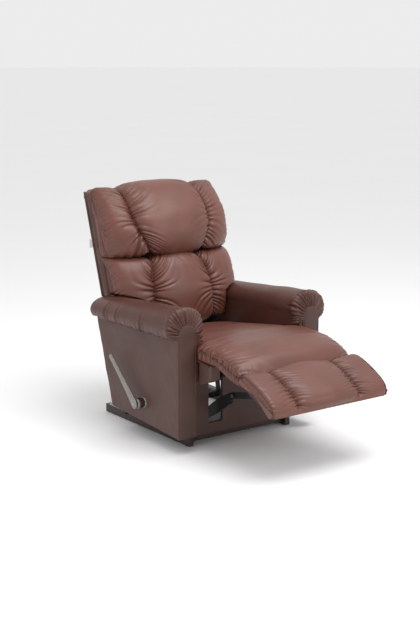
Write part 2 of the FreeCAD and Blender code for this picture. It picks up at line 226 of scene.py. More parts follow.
def closed_ends(grid, crown, axis):
    """Adds shrinking loops at both ends, so that they close in a low crown along axis."""
    rows = [grid]
    for end, way in ((0, -1), (-1, 1)):
        middle = grid[end].mean(axis=0)
        extra = []
        for k in (0.86, 0.6, 0.3, 0.04):
            loop = middle + (grid[end] - middle) * k
            extra.append(loop + axis * way * crown * (1 - k * k))
        extra = np.array(extra)
        if way < 0:
            rows.insert(0, extra[::-1])
        else:
            rows.append(extra)
    return np.concatenate(rows)


def side_to_world(x, loop):
    """Points of a (f, z) loop at one x."""
    return np.stack([np.full(len(loop), x), DATUM - loop[:, 0], loop[:, 1]], axis=1)


def welt(name, path, radius, material, body, closed=False):
    """Piping: a tube along a smooth path of points."""
    p = np.array(path, float)
    ahead = np.roll(p, -1, axis=0) - np.roll(p, 1, axis=0) if closed else np.gradient(p, axis=0)
    ahead /= np.linalg.norm(ahead, axis=1)[:, None] + 1e-12
    guide = X_AXIS if abs(ahead[:, 0]).mean() < 0.5 else Z_AXIS
    one = np.cross(ahead, guide)
    one /= np.linalg.norm(one, axis=1)[:, None] + 1e-12
    two = np.cross(ahead, one)
    turn = np.linspace(0, 2 * math.pi, 10, endpoint=False)
    ring = (np.cos(turn)[None, :, None] * one[:, None, :]
            + np.sin(turn)[None, :, None] * two[:, None, :])
    grid = p[:, None, :] + ring * radius
    if closed:
        grid = np.concatenate([grid, grid[:1]])
    return grid_object(name, grid, material, body)


def dense(points, step=0.006, closed=False):
    """Points along straight runs between corners, with the corners eased."""
    p = np.array(points, float)
    if closed:
        p = np.vstack([p, p[:1]])
    run = np.concatenate([[0], np.cumsum(np.linalg.norm(np.diff(p, axis=0), axis=1))])
    places = np.linspace(0, run[-1], max(8, int(run[-1] / step)))
    q = np.stack([np.interp(places, run, p[:, k]) for k in range(3)], axis=1)
    for _ in range(4):
        q[1:-1] = (q[:-2] + 2 * q[1:-1] + q[2:]) / 4
    return q[:-1] if closed else q


# ---------------------------------------------------------------- materials

class Nodes:
    """Short way to wire a material's nodes."""

    def __init__(self, name):
        self.material = bpy.data.materials.new(name)
        self.material.use_nodes = True
        self.tree = self.material.node_tree
        self.shader = self.tree.nodes["Principled BSDF"]
        coords = self.tree.nodes.new("ShaderNodeTexCoord")
        self.place = coords.outputs["Object"]

    def add(self, kind, **sockets):
        node = self.tree.nodes.new(kind)
        for name, value in sockets.items():
            self.give(node, name.replace("_", " "), value)
        return node

    def give(self, node, name, value):
        socket = node.inputs[name]
        if isinstance(value, bpy.types.NodeSocket):
            self.tree.links.new(value, socket)
        else:
            socket.default_value = value

    def noise(self, scale, detail=4.0, roughness=0.55, stretch=None):
        place = self.place
        if stretch is not None:
            mapping = self.add("ShaderNodeMapping", Vector=self.place, Scale=stretch)
            place = mapping.outputs["Vector"]
        node = self.add("ShaderNodeTexNoise", Vector=place, Scale=scale, Detail=detail,
                        Roughness=roughness)
        return node.outputs["Fac"]

    def ramp(self, factor, stops):
        node = self.tree.nodes.new("ShaderNodeValToRGB")
        self.tree.links.new(factor, node.inputs["Fac"])
        ramp = node.color_ramp
        while len(ramp.elements) < len(stops):
            ramp.elements.new(0.5)
        for element, (place, colour) in zip(ramp.elements, stops):
            element.position = place
            element.color = (*colour, 1.0)
        return node.outputs["Color"]

    def span(self, factor, low, high):
        node = self.add("ShaderNodeMapRange", Value=factor, To_Min=low, To_Max=high)
        return node.outputs["Result"]

    def bump(self, height, strength, distance, below=None):
        node = self.add("ShaderNodeBump", Height=height, Strength=strength, Distance=distance)
        if below is not None:
            self.give(node, "Normal", below)
        return node.outputs["Normal"]

    def finish(self, **sockets):
        for name, value in sockets.items():
            self.give(self.shader, name.replace("_", " "), value)
        return self.material


def leather(name, colour, rough=(0.36, 0.48), coat=0.0):
    """Grained leather: slightly mottled dye, pebbled grain, pores and slow changes of gloss."""
    m = Nodes(name)
    mottle = m.noise(6.0, 5.0, 0.55)
    dark, light = (tuple(c * k for c in colour) for k in (0.86, 1.14))
    shade = m.ramp(mottle, [(0.30, dark), (0.52, colour), (0.74, light)])
    cells = m.add("ShaderNodeTexVoronoi", Vector=m.place, Scale=520.0)
    grain = m.span(cells.outputs["Distance"], 0.0, 1.0)
    pores = m.noise(1500.0, 2.0)
    soft = m.noise(34.0, 4.0, 0.55)
    normal = m.bump(soft, 0.10, 0.0018)
    normal = m.bump(grain, 0.22, 0.0006, normal)
    normal = m.bump(pores, 0.10, 0.0003, normal)
    gloss = m.span(m.noise(22.0, 4.0), *rough)
    return m.finish(Base_Color=shade, Roughness=gloss, Normal=normal, Specular_IOR_Level=0.42,
                    Coat_Weight=coat, Coat_Roughness=0.32)


def painted_steel(name, colour, rough):
    """Painted steel with fine flecks."""
    m = Nodes(name)
    fleck = m.noise(240.0, 3.0)
    shade = m.ramp(fleck, [(0.3, colour), (0.8, tuple(min(1.0, c * 1.8 + 0.01) for c in colour))])
    gloss = m.span(m.noise(60.0, 4.0), rough - 0.08, rough + 0.12)
    return m.finish(Base_Color=shade, Roughness=gloss, Metallic=0.35,
                    Normal=m.bump(fleck, 0.15, 0.0004))


def bright_metal(name, colour, rough, stretch):
    """Bare metal, brushed along one direction."""
    m = Nodes(name)
    lines = m.noise(420.0, 3.0, 0.6, stretch)
    shade = m.ramp(m.noise(14.0, 4.0), [(0.3, tuple(c * 0.88 for c in colour)), (0.75, colour)])
    gloss = m.span(lines, rough - 0.07, rough + 0.10)
    return m.finish(Base_Color=shade, Roughness=gloss, Metallic=1.0,
                    Normal=m.bump(lines, 0.06, 0.0003))


def wood(name, dark, light, rough, stretch=(14.0, 1.0, 14.0)):
    """Wood with its figure and fibre along Y."""
    m = Nodes(name)
    figure = m.noise(9.0, 8.0, 0.65, stretch)
    fibre = m.noise(60.0, 5.0, 0.6, stretch)
    colour = m.ramp(figure, [(0.32, dark), (0.70, light)])
    return m.finish(Base_Color=colour, Roughness=m.span(fibre, rough - 0.08, rough + 0.12),
                    Normal=m.bump(fibre, 0.22, 0.0006))


def cloth(name, dark, light):
    """Plain-woven cloth."""
    m = Nodes(name)
    across = m.add("ShaderNodeTexWave", Vector=m.place, Scale=260.0, Distortion=0.6)
    along = m.add("ShaderNodeTexWave", Vector=m.place, Scale=260.0, Distortion=0.6)
    along.bands_direction = "Z"
    weave = m.add("ShaderNodeMath")
    weave.operation = "MULTIPLY"
    m.give(weave, 0, across.outputs["Fac"])
    m.give(weave, 1, along.outputs["Fac"])
    colour = m.ramp(m.noise(30.0, 5.0), [(0.3, dark), (0.7, light)])
    return m.finish(Base_Color=colour, Roughness=m.span(weave.outputs["Value"], 0.75, 0.95),
                    Normal=m.bump(weave.outputs["Value"], 0.3, 0.0005))


def moulded(name, colour):
    """Moulded plastic with a fine speckle."""
    m = Nodes(name)
    speck = m.noise(900.0, 2.0)
    shade = m.ramp(m.noise(12.0), [(0.3, colour), (0.8, tuple(c * 1.5 + 0.004 for c in colour))])
    return m.finish(Base_Color=shade, Roughness=m.span(speck, 0.45, 0.65),
                    Normal=m.bump(speck, 0.2, 0.0003))


HIDE = leather("hide_pads", (0.135, 0.046, 0.032), coat=0.16)
# Darker copy of the pad leather, the same hue at about 0.57 of its brightness: on the arm rolls it
# gives their darker tone, and on the inner arm pads it is painted shade.
HIDE_ROLL_AND_SHADE = leather("hide_rolls", (0.078, 0.026, 0.018), (0.38, 0.52), coat=0.06)
VINYL = leather("hide_sides", (0.088, 0.045, 0.036), (0.50, 0.62))
# Darker, greyer copy of the leather for the arm facings and the front panel: painted shade, for
# front faces that get less light than the tops.
FACING_SHADED_HIDE = leather("hide_facings", (0.070, 0.032, 0.024), (0.50, 0.62))
PIPING = leather("hide_piping", (0.078, 0.029, 0.021), (0.38, 0.52))
STEEL = painted_steel("black_steel", (0.012, 0.012, 0.013), 0.38)
ZINC = bright_metal("zinc_steel", (0.46, 0.46, 0.47), 0.34, (1.0, 12.0, 1.0))
NICKEL = bright_metal("satin_nickel", (0.27, 0.245, 0.225), 0.24, (1.0, 6.0, 6.0))
DARK_WOOD = wood("dark_wood", (0.020, 0.012, 0.010), (0.055, 0.032, 0.024), 0.42)
STAINED_WOOD = wood("stained_wood", (0.016, 0.012, 0.010), (0.034, 0.026, 0.022), 0.60)
DUST_CLOTH = cloth("dust_cloth", (0.012, 0.011, 0.011), (0.028, 0.026, 0.025))
DECK_CLOTH = cloth("deck_cloth", (0.55, 0.54, 0.50), (0.72, 0.70, 0.66))
TAG_CLOTH = cloth("tag_cloth", (0.78, 0.78, 0.76), (0.88, 0.88, 0.86))
PLASTIC = moulded("black_plastic", (0.016, 0.016, 0.017))


def finish_cad_nodes():
    """Gives every carried-over CAD node its procedural material."""
    slots = {"dark_wood": DARK_WOOD, "frame_wood": STAINED_WOOD, "black_steel": STEEL,
             "zinc_steel": ZINC, "nickel": NICKEL, "black_plastic": PLASTIC,
             "plain_cloth": DECK_CLOTH, "brown_leather": HIDE}
    # The front panel takes the darker facing leather: painted shade, as on the facings.
    special = {"front_panel": FACING_SHADED_HIDE, "footrest_board": DUST_CLOTH, "care_tag": TAG_CLOTH}
    for part in frame["record"]["subparts"]:
        node = frame["nodes"][part["node"]]
        material = special.get(part["node"], slots[part["material_slot"]])
        node.data.materials.clear()
        node.data.materials.append(material)


# ---------------------------------------------------------------- back

PILLOW_X = 0.337
LOW_X = 0.241
HEAD_SEAM = [(0.76, 0.142), (0.83, 0.174), (0.90, 0.205), (0.97, 0.216), (1.03, 0.210),
             (1.08, 0.200)]
LUMBAR_SEAM = [(0.44, 0.166), (0.60, 0.164), (0.66, 0.158), (0.70, 0.148), (0.76, 0.125)]
SEAM_SHIFT = -0.014              # both seams lie a little towards the left arm at their tops
HEAD_LOOP = [(-0.246, 0.766), (-0.180, 0.758), (-0.124, 0.765), (-0.103, 0.800), (-0.100, 0.860),
             (-0.120, 0.925), (-0.160, 0.990), (-0.212, 1.045), (-0.270, 1.074), (-0.325, 1.078),
             (-0.368, 1.062), (-0.384, 1.036), (-0.374, 1.010), (-0.326, 0.985), (-0.280, 0.880)]
LUMBAR_LOOP = [(-0.148, 0.447), (-0.100, 0.442), (-0.056, 0.450), (-0.034, 0.482),
               (-0.030, 0.540), (-0.036, 0.600), (-0.052, 0.655), (-0.080, 0.715),
               (-0.118, 0.752), (-0.180, 0.762), (-0.240, 0.758), (-0.218, 0.680),
               (-0.186, 0.570)]


def seam_x(seam, z, side):
    """Place of a seam across the chair at a height."""
    heights, places = zip(*seam)
    share = np.clip((z - heights[0]) / (heights[-1] - heights[0]), 0, 1)
    return side * np.interp(z, heights, places) + SEAM_SHIFT * share


def pillow_stations(seams):
    """Shares of the half width, close together near the seams and the ends."""
    t = np.linspace(-1, 1, 2001)
    gap = np.min([np.abs(np.abs(t) * PILLOW_X - x) for x in seams], axis=0)
    close = 1 + 3.2 * np.exp(-(gap / 0.050) ** 2) + 3.0 * np.clip((np.abs(t) - 0.93) / 0.05, 0, 1)
    run = np.concatenate([[0], np.cumsum((close[1:] + close[:-1]) / 2)])
    return np.interp(np.linspace(0, run[-1], 185), run, t)


def pillow(name, outline, count, half_width, recess, drop, seam, shape, replaces):
    """Back cushion: its outline is carried across the chair and pulled back towards the sides."""
    def coarse(f, z):
        return 1 + 3.0 * (1 - soft_face(f, z))
    loop, run = smooth_loop(outline, count, coarse)
    normal = loop_normals(loop)
    face = soft_face(loop[:, 0], loop[:, 1])
    top = np.clip((loop[:, 1] - loop[:, 1].max() + 0.12) / 0.12, 0, 1)
    front = np.clip((loop[:, 0] - rear_f(loop[:, 1]) - 0.06) / 0.12, 0, 1)
    rows = []
    for t in pillow_stations([x for _, x in seam]):
        end = np.clip((abs(t) - 0.90) / 0.10, 0, 1)
        inset = 0.026 * (1 - math.sqrt(1 - end ** 2))
        wrap = 0.018 * np.clip((abs(t) * PILLOW_X - 0.318) / 0.010, 0, 1)
        ring = loop - normal * (inset * np.maximum(face, 0.2))[:, None]
        x = t * half_width(ring[:, 1], ring[:, 0])
        aside = np.abs(x) / PILLOW_X
        ring = ring - np.stack([front * recess * aside ** 3.6 + (1 - face) * wrap,
                                top * drop * aside ** 3], axis=1)
        rows.append(np.stack([x, DATUM - ring[:, 0], ring[:, 1]], axis=1))
    grid = np.array(rows)
    out = surface_normals(grid)
    height = shape(grid[:, :, 0], grid[:, :, 2], run[None, :] + 0 * grid[:, :, 0])
    grid = grid + out * (height * face[None, :])[:, :, None]
    grid = closed_ends(grid, 0.003, X_AXIS)
    return grid_object(name, grid, HIDE, "back", replaces)


def soft_face(f, z):
    """1 on a back pillow's front, top and bottom and 0 on its rear, which rests on the frame."""
    clear = np.where(z > 0.995, 0.012, 0.068)
    return np.clip((f - rear_f(z) - clear) / 0.045, 0, 1)


def head_shape(x, z, run):
    """Height of the head cushion's leather over its outline."""
    fan = np.interp(z, [0.77, 0.88, 0.98, 1.06], [-0.80, -0.45, 0.20, 0.65])
    height = 0
    for side, seed in ((-1, 11), (1, 23)):
        across = x - seam_x(HEAD_SEAM, z, side)
        height = height + pinch(across, 0.037, 0.010, 0.036)
        reach = np.interp(z, [0.78, 0.86], [0.036, 0.060])
        height = height + gathers(across, run, 0.0215, reach, 0.0078, seed, fan)
    branch = x + 0.203 + 0.15 * np.clip(0.90 - z, 0, 1)
    height = height + fold(np.clip((0.91 - z) / 0.05, 0, 1), branch, 0.007, 0.012)
    border = PILLOW_X - np.abs(x)
    height = height + gathers(border, run, 0.026, 0.028, 0.0035, 31, 0.9)
    foot = z - 0.762
    near_foot = np.clip(1 - foot / 0.1, 0, 1)
    height = height + gathers(foot, x, 0.034, 0.026, 0.0040, 33, 0.2) * near_foot
    crown = 0.008 * (1 - np.clip(np.abs(x) / 0.20, 0, 1) ** 4)
    return height + crown + 0.0012 * waves(x, z, 0.14, 5)


def lumbar_shape(x, z, run):
    """Height of the lumbar cushion's leather over its outline."""
    fan = np.interp(z, [0.45, 0.56, 0.66, 0.76], [-0.9, -0.3, 0.3, 1.2])
    height = 0
    for side, seed in ((-1, 37), (1, 41)):
        across = x - seam_x(LUMBAR_SEAM, z, side)
        height = height + pinch(across, 0.034, 0.010, 0.040)
        height = height + gathers(across, run, 0.0200, 0.062, 0.0078, seed, fan)
    border = PILLOW_X - np.abs(x)
    height = height + gathers(border, run, 0.022, 0.022, 0.0030, 43, 0.9)
    crown = 0.014 * np.cos(np.clip(x / 0.17, -1, 1) * math.pi / 2)
    return height + crown + 0.0012 * waves(x, z, 0.14, 7)


def narrow_below_arms(z, f):
    """Half width of the lumbar pillow, which narrows over the arm rolls and hangs behind them."""
    hang = 0.22 * np.clip(-0.130 - f, 0, 0.075)
    return np.interp(z + hang, [0.540, 0.572, 0.588, 0.598, 0.605],
                     [LOW_X, 0.2435, 0.275, 0.318, PILLOW_X])


def build_back():
    """Both cushions, and the covered shell behind them with its piping."""
    pillow("head_cushion", HEAD_LOOP, 300, lambda z, f: PILLOW_X + 0 * z, 0.085, 0.014, HEAD_SEAM,
           head_shape, ["head_pillow"])
    pillow("lumbar_cushion", LUMBAR_LOOP, 270, narrow_below_arms, 0.080, 0.004, LUMBAR_SEAM,
           lumbar_shape, ["lumbar_pillow"])
    shell_x, shell_z = 0.342, 1.046

    def corner(x, z, inset):
        return (x, DATUM - rear_f(z) - inset, z)
    wide = [corner(-shell_x, 0.579, 0), corner(shell_x, 0.579, 0),
            corner(shell_x, shell_z, 0), corner(-shell_x, shell_z, 0)]
    back_way = np.array([0, 1, REAR_SLOPE])
    back_way = back_way / np.linalg.norm(back_way)
    slab("back_shell", wide, back_way, 0.016, 0.004, VINYL, "back", ["outside_back"])
    low = [corner(-LOW_X, 0.362, 0), corner(LOW_X, 0.362, 0),
           corner(LOW_X, 0.590, 0), corner(-LOW_X, 0.590, 0)]
    slab("back_shell_low", low, back_way, 0.014, 0.002, VINYL, "back", ["outside_back"])
    for side, label in SIDES:
        build_back_side(side, label)
    edge = [corner(-shell_x, 0.585, 0.016), corner(-shell_x, shell_z - 0.02, 0.016),
            corner(-shell_x + 0.02, shell_z + 0.004, 0.016),
            corner(shell_x - 0.02, shell_z + 0.004, 0.016),
            corner(shell_x, shell_z - 0.02, 0.016), corner(shell_x, 0.585, 0.016)]
    welt("back_welt", dense(edge), 0.0042, PIPING, "back")


def build_back_side(side, label):
    """Leather band over the edge of the back's frame, between the shell and the pillows."""
    rows = []
    for z in np.linspace(0.584, 1.036, 90):
        band = [(0.318, 0.013), (0.336, 0.013), (0.3405, 0.020), (0.3405, 0.050), (0.334, 0.060),
                (0.318, 0.060)]
        x, inset = smooth_loop(band, 36)[0].T
        x = x + 0.0010 * waves(inset, z, 0.07, 55) * (x > 0.33)
        rows.append(np.stack([side * x, DATUM - rear_f(z) - inset, np.full_like(x, z)], axis=1))
    grid_object("back_band_" + label, closed_ends(np.array(rows), 0.001, Z_AXIS), VINYL, "back")
    for name, low, high in (("head", 0.800, 1.010), ("lumbar", 0.612, 0.750)):
        path = [(side * 0.3400, DATUM - rear_f(z) - 0.047, z) for z in np.linspace(low, high, 40)]
        welt(name + "_edge_" + label, path, 0.0026, PIPING, "back")


SLAB_EDGE = 0.006                # about how wide the rounding along a board's edge is
EDGE_POWER = 0.42                # how full that rounding is


def slab(name, corners, outward, thick, bulge, material, body, replaces, relief=None):
    """Upholstered board: a four-cornered panel with soft edges and a low crown outwards.

    relief gives an extra height at each point of the flat panel.
    """
    a, b, c, d = (np.array(p, float) for p in corners)
    u = np.sin(np.linspace(-math.pi / 2, math.pi / 2, 46))
    v = np.sin(np.linspace(-math.pi / 2, math.pi / 2, 46))
    wide = np.linalg.norm(b - a) / 2
    tall = np.linalg.norm(d - a) / 2
    uu, vv = np.meshgrid(u, v, indexing="ij")
    s, t = ((uu + 1) / 2)[:, :, None], ((vv + 1) / 2)[:, :, None]
    flat = a * (1 - s) * (1 - t) + b * s * (1 - t) + c * s * t + d * (1 - s) * t
    edge = (1 - np.abs(uu) ** (wide / SLAB_EDGE)) * (1 - np.abs(vv) ** (tall / SLAB_EDGE))
    edge = np.clip(edge, 0, 1) ** EDGE_POWER
    crown = (1 - uu ** 2) * (1 - vv ** 2)
    outward = np.array(outward, float)
    mid = flat - outward * thick / 2
    lift = edge * thick / 2 + bulge * crown
    if relief is not None:
        lift = lift + relief(flat) * edge
    top = mid + outward * lift[:, :, None]
    under = mid - outward * (edge * thick / 2)[:, :, None]
    verts = np.concatenate([top.reshape(-1, 3), under.reshape(-1, 3)])
    faces = board_faces(len(u), len(v))
    obj = add_object(name, verts, faces, material, body, replaces)
    clean(obj.data, SAME_POINT)


# ---------------------------------------------------------------- arms

PANEL_THICK = 0.012              # covered panels of the arms and the rear
REAR_HALF = 0.372                # half width of the panels on the rear
ROLL_MID = 0.338
ROLL_BASE = 0.500
ROLL_LOOP = [(-0.066, 0.000), (0.000, -0.002), (0.066, 0.000), (0.086, 0.022), (0.091, 0.058),
             (0.078, 0.095), (0.045, 0.122), (0.000, 0.131), (-0.045, 0.122), (-0.078, 0.095),
             (-0.091, 0.058), (-0.086, 0.022)]
ROLL_REAR, ROLL_FRONT = -0.203, 0.398
FACE_R = 0.0455
FACE_Z = 0.5205
FACE_MID = 0.3395
FACE_DROP = 0.004                # directions to the facing's edge start this far under FACE_Z
FACE_FOOT = 0.018                # and the edge goes down to this far under that point


def face_point(x, z):
    """The facing's edge in the direction of a point of the roll's section."""
    dx, dz = x - FACE_MID, z - FACE_Z + FACE_DROP
    reach = np.hypot(dx, dz) + 1e-9
    k = FACE_R / reach
    low = dz < 0
    box = np.minimum(FACE_R / (np.abs(dx) + 1e-9), FACE_FOOT / (np.abs(dz) + 1e-9))
    k = np.where(low, box, k)
    return FACE_MID + dx * k, FACE_Z - FACE_DROP + dz * k


def roll_top(f):
    """Height of the roll's section at f, as a share of its front height."""
    return np.interp(f, [-0.20, 0.42], [0.66, 1.0])


def build_roll(side, label):
    """Padded roll on top of an arm, gathered round the facing at its front."""
    loop, run = smooth_loop(ROLL_LOOP, 150)
    back = [(ROLL_REAR + 0.034 * (1 - math.sin(a)), math.cos(a) * 0.6)
            for a in np.linspace(0.05, math.pi / 2, 9)]
    middle = [(f, 0.0) for f in np.linspace(ROLL_REAR + 0.037, ROLL_FRONT, 150)]
    rows, stations, turns = [], [], []
    for f, shrink in back + middle:
        k = roll_top(f)
        x = ROLL_MID + loop[:, 0] * (1 - shrink * 0.8)
        z = ROLL_BASE + 0.055 * k + (loop[:, 1] - 0.055) * k * (1 - shrink * 0.9)
        rows.append(np.stack([x, np.full_like(x, DATUM - f), z], axis=1))
        stations.append(f)
        turns.append(0.0)
    rim = rows[-1]
    for a in np.linspace(0, math.pi / 2, 16)[1:]:
        share = 1 - math.cos(a)
        fx, fz = face_point(rim[:, 0], rim[:, 2])
        f = ROLL_FRONT + 0.034 * math.sin(a)
        x = rim[:, 0] + (fx - rim[:, 0]) * share
        z = rim[:, 2] + (fz - rim[:, 2]) * share
        rows.append(np.stack([x, np.full_like(x, DATUM - f), z], axis=1))
        stations.append(f)
        turns.append(math.sin(a))
    grid = np.array(rows)
    out = surface_normals(grid)
    f = np.array(stations)[:, None] + 0 * grid[:, :, 0]
    turn = np.array(turns)[:, None] + 0 * f
    s = run[None, :] + 0 * f
    seed = 61 if side < 0 else 67
    upper = np.clip((grid[:, :, 2] - 0.500) / 0.02, 0, 1)
    lip = 0.0055 * np.exp(-((f - 0.412) / 0.016) ** 2) * upper
    ruffle = gathers(0.436 - f, s, 0.0200, 0.027, 0.0110, seed, 0.1) * upper
    ruffle = ruffle * (1 - 0.45 * turn ** 6) + lip
    outer = np.clip((grid[:, :, 0] - ROLL_MID) / 0.05, 0, 1)
    low = np.clip((0.592 - grid[:, :, 2]) / 0.05, 0, 1)
    tucks = 0
    for place in (-0.080, 0.012, 0.205):
        across = f - place - 0.12 * (grid[:, :, 2] - 0.54)
        tucks = tucks + fold(1.0, across, 0.0055, 0.0062)
    hem = np.abs(grid[:, :, 2] - ROLL_BASE)
    hem_folds = gathers(hem, f, 0.034, 0.022, 0.0038, seed + 4, 0.5) * outer * (1 - turn)
    puffs = 0.0012 * waves(f, s * 0.3, 0.16, seed + 10)
    height = ruffle + tucks * outer * low + hem_folds + puffs * (1 - turn)
    grid = grid + out * height[:, :, None]
    grid[:, :, 0] *= side
    grid = closed_ends(grid, 0.004, -Y_AXIS)
    grid_object("roll_" + label, grid, HIDE_ROLL_AND_SHADE, "arm_unit",
                ["arm_roll_" + label])


def build_facing(side, label):
    """Tall arched panel on the arm's front, with piping round it."""
    half, foot = 0.0435, 0.068
    heights = np.concatenate([foot + 0.006 * np.linspace(0, 1, 5) ** 2,
                              np.linspace(foot + 0.012, FACE_Z, 70),
                              FACE_Z + half * np.sin(np.linspace(0.03, math.pi / 2, 22))])
    across = np.sin(np.linspace(-math.pi / 2, math.pi / 2, 31))
    width = np.where(heights > FACE_Z,
                     np.sqrt(np.maximum(half ** 2 - (heights - FACE_Z) ** 2, 1e-8)), half)
    a, z = np.meshgrid(across, heights)
    w = width[:, None] + 0 * a
    edge = np.clip(1 - np.abs(a) ** (half / 0.005), 0, 1) ** EDGE_POWER
    ends = np.clip((z - foot) / 0.006, 0, 1) * np.clip((foot + 0.4955 - z) / 0.008 + 0.05, 0, 1)
    edge = edge * np.sqrt(ends)
    x = FACE_MID + a * w
    front = 0.426 + edge * (0.0085 + 0.0025 * (1 - a ** 2)) + 0.0008 * waves(x, z, 0.08, 71)
    rear = 0.424 - edge * 0.005
    top = np.stack([x * side, DATUM - front, z], axis=2)
    under = np.stack([x * side, DATUM - rear, z], axis=2)
    n, m = x.shape
    verts = np.concatenate([top.reshape(-1, 3), under.reshape(-1, 3)])
    faces = board_faces(n, m)
    for i in range(n - 1):
        for j in (0, m - 1):
            faces.append((i * m + j, (i + 1) * m + j, (i + 1) * m + j + n * m,
                          i * m + j + n * m))
    for i in (0, n - 1):
        for j in range(m - 1):
            faces.append((i * m + j, i * m + j + 1, i * m + j + 1 + n * m, i * m + j + n * m))
    # The facing's darker leather is painted shade for a front face.
    add_object("facing_" + label, verts, faces, FACING_SHADED_HIDE, "arm_unit",
               ["arm_facing_" + label])
    arch = np.linspace(0, math.pi, 40)
    over = [(FACE_MID + half * math.cos(t), FACE_Z + half * math.sin(t)) for t in arch]
    path = [(FACE_MID + half, 0.070)] + over + [(FACE_MID - half, 0.070)]
    points = dense([(x * side, DATUM - 0.4295, z) for x, z in path], 0.004)
    welt("facing_welt_" + label, points, 0.0034, PIPING, "arm_unit")


def build_side(side, label):
    """Outer side panel, plain and a little slack."""
    def corner(f, z):
        return (side * 0.3835, DATUM - f, z)
    corners = [corner(0.427, 0.067), corner(0.427, 0.508), corner(rear_f(0.508), 0.508),
               corner(rear_f(0.098), 0.098)]

    def slack(p):
        drape = 0.0012 * waves(p[:, :, 1], p[:, :, 2] * 1.3, 0.16, 83 + side)
        return drape + 0.0008 * waves(p[:, :, 1] * 2, p[:, :, 2], 0.07, 85 + side)
    name = "side_panel_" + label
    slab("side_cover_" + label, corners, (side, 0, 0), PANEL_THICK, 0.0035, VINYL, "arm_unit",
         [name], slack)


def build_inner_pad(side, label):
    """Padded inside of an arm, from under the roll down past the seat."""
    outline = [(0.294, 0.302), (0.262, 0.304), (0.2510, 0.330), (0.2495, 0.400), (0.2480, 0.470),
               (0.2475, 0.530), (0.252, 0.560), (0.275, 0.572), (0.292, 0.560), (0.296, 0.420)]
    loop = smooth_loop(outline, 170)[0]
    places, insets = round_stations(-0.190, 0.4280, 0.024, 0.0036)
    facing_in = np.clip((0.288 - loop[:, 0]) / 0.03, 0, 1)
    rows = [np.stack([loop[:, 0] + inset * facing_in, np.full(len(loop), DATUM - f), loop[:, 1]],
                     axis=1) for f, inset in zip(places, insets)]
    grid = np.array(rows)
    out = surface_normals(grid)
    inner = np.clip((0.285 - grid[:, :, 0]) / 0.02, 0, 1)
    f = places[:, None] + 0 * grid[:, :, 0]
    z = grid[:, :, 2]
    pucker = gathers(0.428 - f, z, 0.0185, 0.030, 0.0075, 91 + side, -0.25)
    pucker = pucker * np.clip((z - 0.42) / 0.03, 0, 1)
    grid = grid + out * ((pucker + 0.0010 * waves(f, z, 0.12, 95)) * inner)[:, :, None]
    grid[:, :, 0] *= side
    grid = closed_ends(grid, 0.001, -Y_AXIS)
    # The inner pad's darker leather is painted shade for the arm's shaded inside.
    grid_object("inner_cover_" + label, grid, HIDE_ROLL_AND_SHADE, "arm_unit",
                ["arm_inner_pad_" + label])


def build_arms():
    """Both arms, and the covers between and behind them."""
    for side, label in SIDES:
        build_roll(side, label)
        build_facing(side, label)
        build_side(side, label)
        build_inner_pad(side, label)
    way = np.array([0, 1, REAR_SLOPE]) / math.hypot(1, REAR_SLOPE)

    def on_rear_line(*places):
        return [(x, DATUM - rear_f(z), z) for x, z in places]
    low, high = 0.121, 0.309
    corners = on_rear_line((-REAR_HALF, low), (REAR_HALF, low), (REAR_HALF, high),
                           (-REAR_HALF, high))
    slab("rear_cover", corners, way, PANEL_THICK, 0.002, VINYL, "arm_unit", ["rear_apron"])
    inner, low, high = 0.251, 0.313, 0.498
    for side, label in SIDES:
        corners = on_rear_line((side * inner, low), (side * REAR_HALF, low),
                               (side * REAR_HALF, high), (side * inner, high))
        slab("arm_rear_" + label, corners, way, PANEL_THICK, 0.002, VINYL, "arm_unit",
             ["arm_rear_covers"])


# ---------------------------------------------------------------- seat and leg rest

SEAT_HALF = 0.241                # half width of the seat between the arms
EAR_HALF = 0.300                 # half width of its ears, in front of the arms
EAR_START = 0.4455               # where the ears begin
PAD_SQUARENESS = 0.28            # power of the cushions' section; nearer 0 is squarer


def seat_half(f):
    """Half width of the T-shaped seat at f."""
    rise = np.clip((f - EAR_START) / 0.009, 0, 1)
    return SEAT_HALF + (EAR_HALF - SEAT_HALF) * rise * rise * (3 - 2 * rise)


def lying_pad(name, stations, half, low, high, side_drop, shape, replaces, ends):
    """Cushion carried along the chair: a rounded section between its low and high lines.

    ends gives the radius of its rear and front end.
    """
    turn = np.linspace(0, 2 * math.pi, 190, endpoint=False)
    c, s = np.cos(turn), np.sin(turn)
    bx = np.sign(c) * np.abs(c) ** PAD_SQUARENESS
    bz = np.sign(s) * np.abs(s) ** PAD_SQUARENESS
    rows, along = [], []
    first, last = stations[0], stations[-1]
    for f in stations:
        edge = min(f - first, last - f)
        radius = ends[0] if f - first < last - f else ends[1]
        shrink = 1.0
        if edge < radius:
            shrink = math.sqrt(max(1 - (1 - edge / radius) ** 2, 0.0009))
        w = half(f)
        x = bx * (w - radius * (1 - shrink) * 0.6)
        mid = (low(f) + high(f)) / 2
        tall = (high(f) - low(f)) / 2
        z = mid + bz * tall * shrink
        z = z - np.where(bz > 0, side_drop * np.abs(bx) ** 4, 0) * shrink
        rows.append(np.stack([x, np.full_like(x, DATUM - f), z], axis=1))
        along.append(f)
    grid = np.array(rows)
    out = surface_normals(grid)
    f = np.array(along)[:, None] + 0 * grid[:, :, 0]
    upper = np.clip(np.sin(turn) * 3 + 1.0, 0, 1)[None, :] + 0 * f
    grid = grid + out * (shape(grid[:, :, 0], f, grid[:, :, 2]) * upper)[:, :, None]
    grid = closed_ends(grid, 0.001, -Y_AXIS)
    return grid_object(name, grid, HIDE, "seat", replaces)


